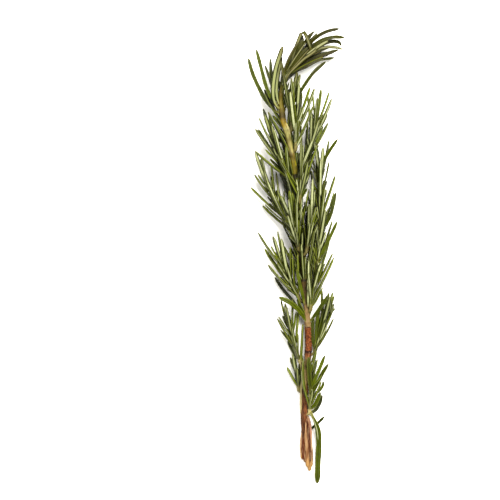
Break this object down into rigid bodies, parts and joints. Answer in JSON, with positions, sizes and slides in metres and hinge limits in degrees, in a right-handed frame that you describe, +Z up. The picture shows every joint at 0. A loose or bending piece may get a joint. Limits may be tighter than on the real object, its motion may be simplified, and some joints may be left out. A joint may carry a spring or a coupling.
{
  "type": "rosemary sprig",
  "caption": "Cut sprig of rosemary lying down: a torn woody stem, a leafy green shoot with a drooping tip, and leafy side shoots.",
  "frame": {"origin": "on the surface the sprig lies on, under the middle of its bounding box", "axes": "+Y from the torn heel to the drooping tip, +X to the right of the stem, +Z up from the surface"},
  "size_m": [0.0432, 0.2051, 0.0217],
  "materials": {
    "bark": "dry bark and torn wood fibre",
    "leaf": "leathery leaf, satin above and felted beneath"
  },
  "bodies": {
    "root": {"woody_stem": "bark", "main_shoot": "leaf", "side_shoot_01": "leaf", "side_shoot_02": "leaf", "side_shoot_03": "leaf", "side_shoot_04": "leaf", "side_shoot_05": "leaf", "side_shoot_06": "leaf", "side_shoot_07": "leaf", "side_shoot_08": "leaf", "side_shoot_09": "leaf", "side_shoot_10": "leaf", "side_shoot_11": "leaf", "side_shoot_12": "leaf", "side_shoot_13": "leaf", "side_shoot_14": "leaf", "side_shoot_15": "leaf", "side_shoot_16": "leaf", "side_shoot_17": "leaf"}
  },
  "joints": []
}
